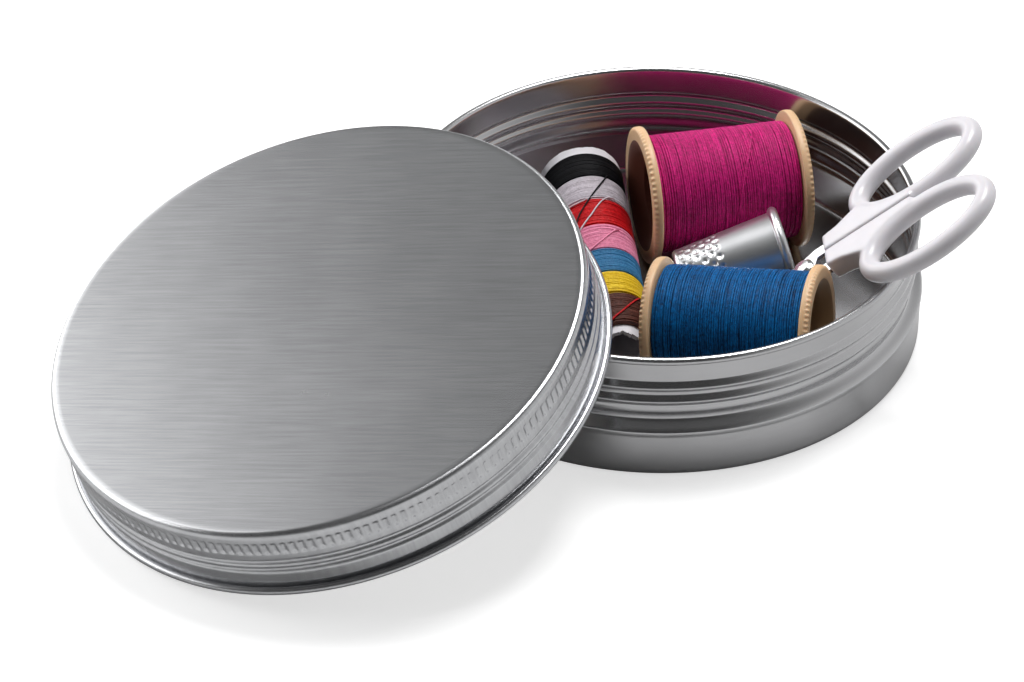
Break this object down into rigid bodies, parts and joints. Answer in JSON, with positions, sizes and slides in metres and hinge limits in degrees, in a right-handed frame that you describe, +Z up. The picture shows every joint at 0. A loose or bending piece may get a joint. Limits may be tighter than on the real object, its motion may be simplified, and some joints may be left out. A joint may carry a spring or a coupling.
{
  "type": "sewing tin",
  "caption": "Round screw-top metal tin standing open with its lid leaning on the rim, holding reels of thread, a striped thread cop, a thimble and small scissors.",
  "frame": {"origin": "centre of the underside of the tin, on the ground", "axes": "+Z up along the axis of the tin; +X to the right and +Y to the back as seen in the reference picture"},
  "size_m": [0.173, 0.1419, 0.0445],
  "materials": {
    "tin_metal": "fine satin",
    "lid_metal": "brushed satin",
    "liner_foam": "soft matt foam",
    "reel_plastic": "semi matt cream",
    "magenta_thread": "wound thread with a soft sheen",
    "blue_thread": "wound thread with a soft sheen",
    "cop_paper": "plain paper, torn at the front end",
    "black_thread": "wound thread",
    "white_thread": "wound thread",
    "red_thread": "wound thread",
    "pink_thread": "wound thread",
    "light_blue_thread": "wound thread",
    "yellow_thread": "wound thread",
    "brown_thread": "wound thread",
    "thimble_metal": "bright, dimpled at the closed end",
    "handle_plastic": "smooth moulded plastic",
    "blade_steel": "bright ground steel",
    "rivet_steel": "bright"
  },
  "bodies": {
    "tin": {"tin_base": "tin_metal"},
    "lid_disc": {"lid_liner": "liner_foam"},
    "lid": {"lid_shell": "lid_metal"},
    "magenta": {"magenta_reel": "reel_plastic", "magenta_core": "magenta_thread", "magenta_thread": "magenta_thread"},
    "blue": {"blue_reel": "reel_plastic", "blue_core": "blue_thread", "blue_thread": "blue_thread"},
    "cop": {"cop_tube": "cop_paper", "cop_black": "black_thread", "cop_white": "white_thread", "cop_red": "red_thread", "cop_pink": "pink_thread", "cop_blue": "light_blue_thread", "cop_yellow": "yellow_thread", "cop_brown": "brown_thread"},
    "thimble": {"thimble": "thimble_metal"},
    "scissors": {"handle_upper": "handle_plastic", "blade_upper": "blade_steel", "rivet": "rivet_steel"},
    "scissors_half": {"handle_lower": "handle_plastic", "blade_lower": "blade_steel"}
  },
  "joints": [
    {"name": "lid_lift", "type": "slide", "parent": "tin", "child": "lid_disc", "axis": [-0.2464, -0.16, 0.9559], "range_m": [0, 0.04]},
    {"name": "lid_turn", "type": "hinge", "parent": "lid_disc", "child": "lid", "pos_m": [-0.05996, -0.03894, 0.01504], "axis": [-0.2464, -0.16, 0.9559], "continuous": true},
    {"name": "magenta_lift", "type": "slide", "parent": "tin", "child": "magenta", "axis": [0, 0, 1], "range_m": [0, 0.035]},
    {"name": "blue_lift", "type": "slide", "parent": "tin", "child": "blue", "axis": [-0.1564, 0, 0.9877], "range_m": [0, 0.035]},
    {"name": "cop_lift", "type": "slide", "parent": "tin", "child": "cop", "axis": [-0.1564, 0, 0.9877], "range_m": [0, 0.012]},
    {"name": "thimble_lift", "type": "slide", "parent": "tin", "child": "thimble", "axis": [0, 0, 1], "range_m": [0, 0.03]},
    {"name": "scissors_draw", "type": "slide", "parent": "tin", "child": "scissors", "axis": [0.7835, 0.015, 0.6211], "range_m": [0, 0.06]},
    {"name": "scissors_open", "type": "hinge", "parent": "scissors", "child": "scissors_half", "pos_m": [0.0276, -0.01191, 0.01809], "axis": [0.621, 0.0119, -0.7837], "range_deg": [0, 30]}
  ],
  "couplings": [
    {"joint": "scissors_open", "follows": "scissors_draw", "rad_per_m": 8.7}
  ]
}
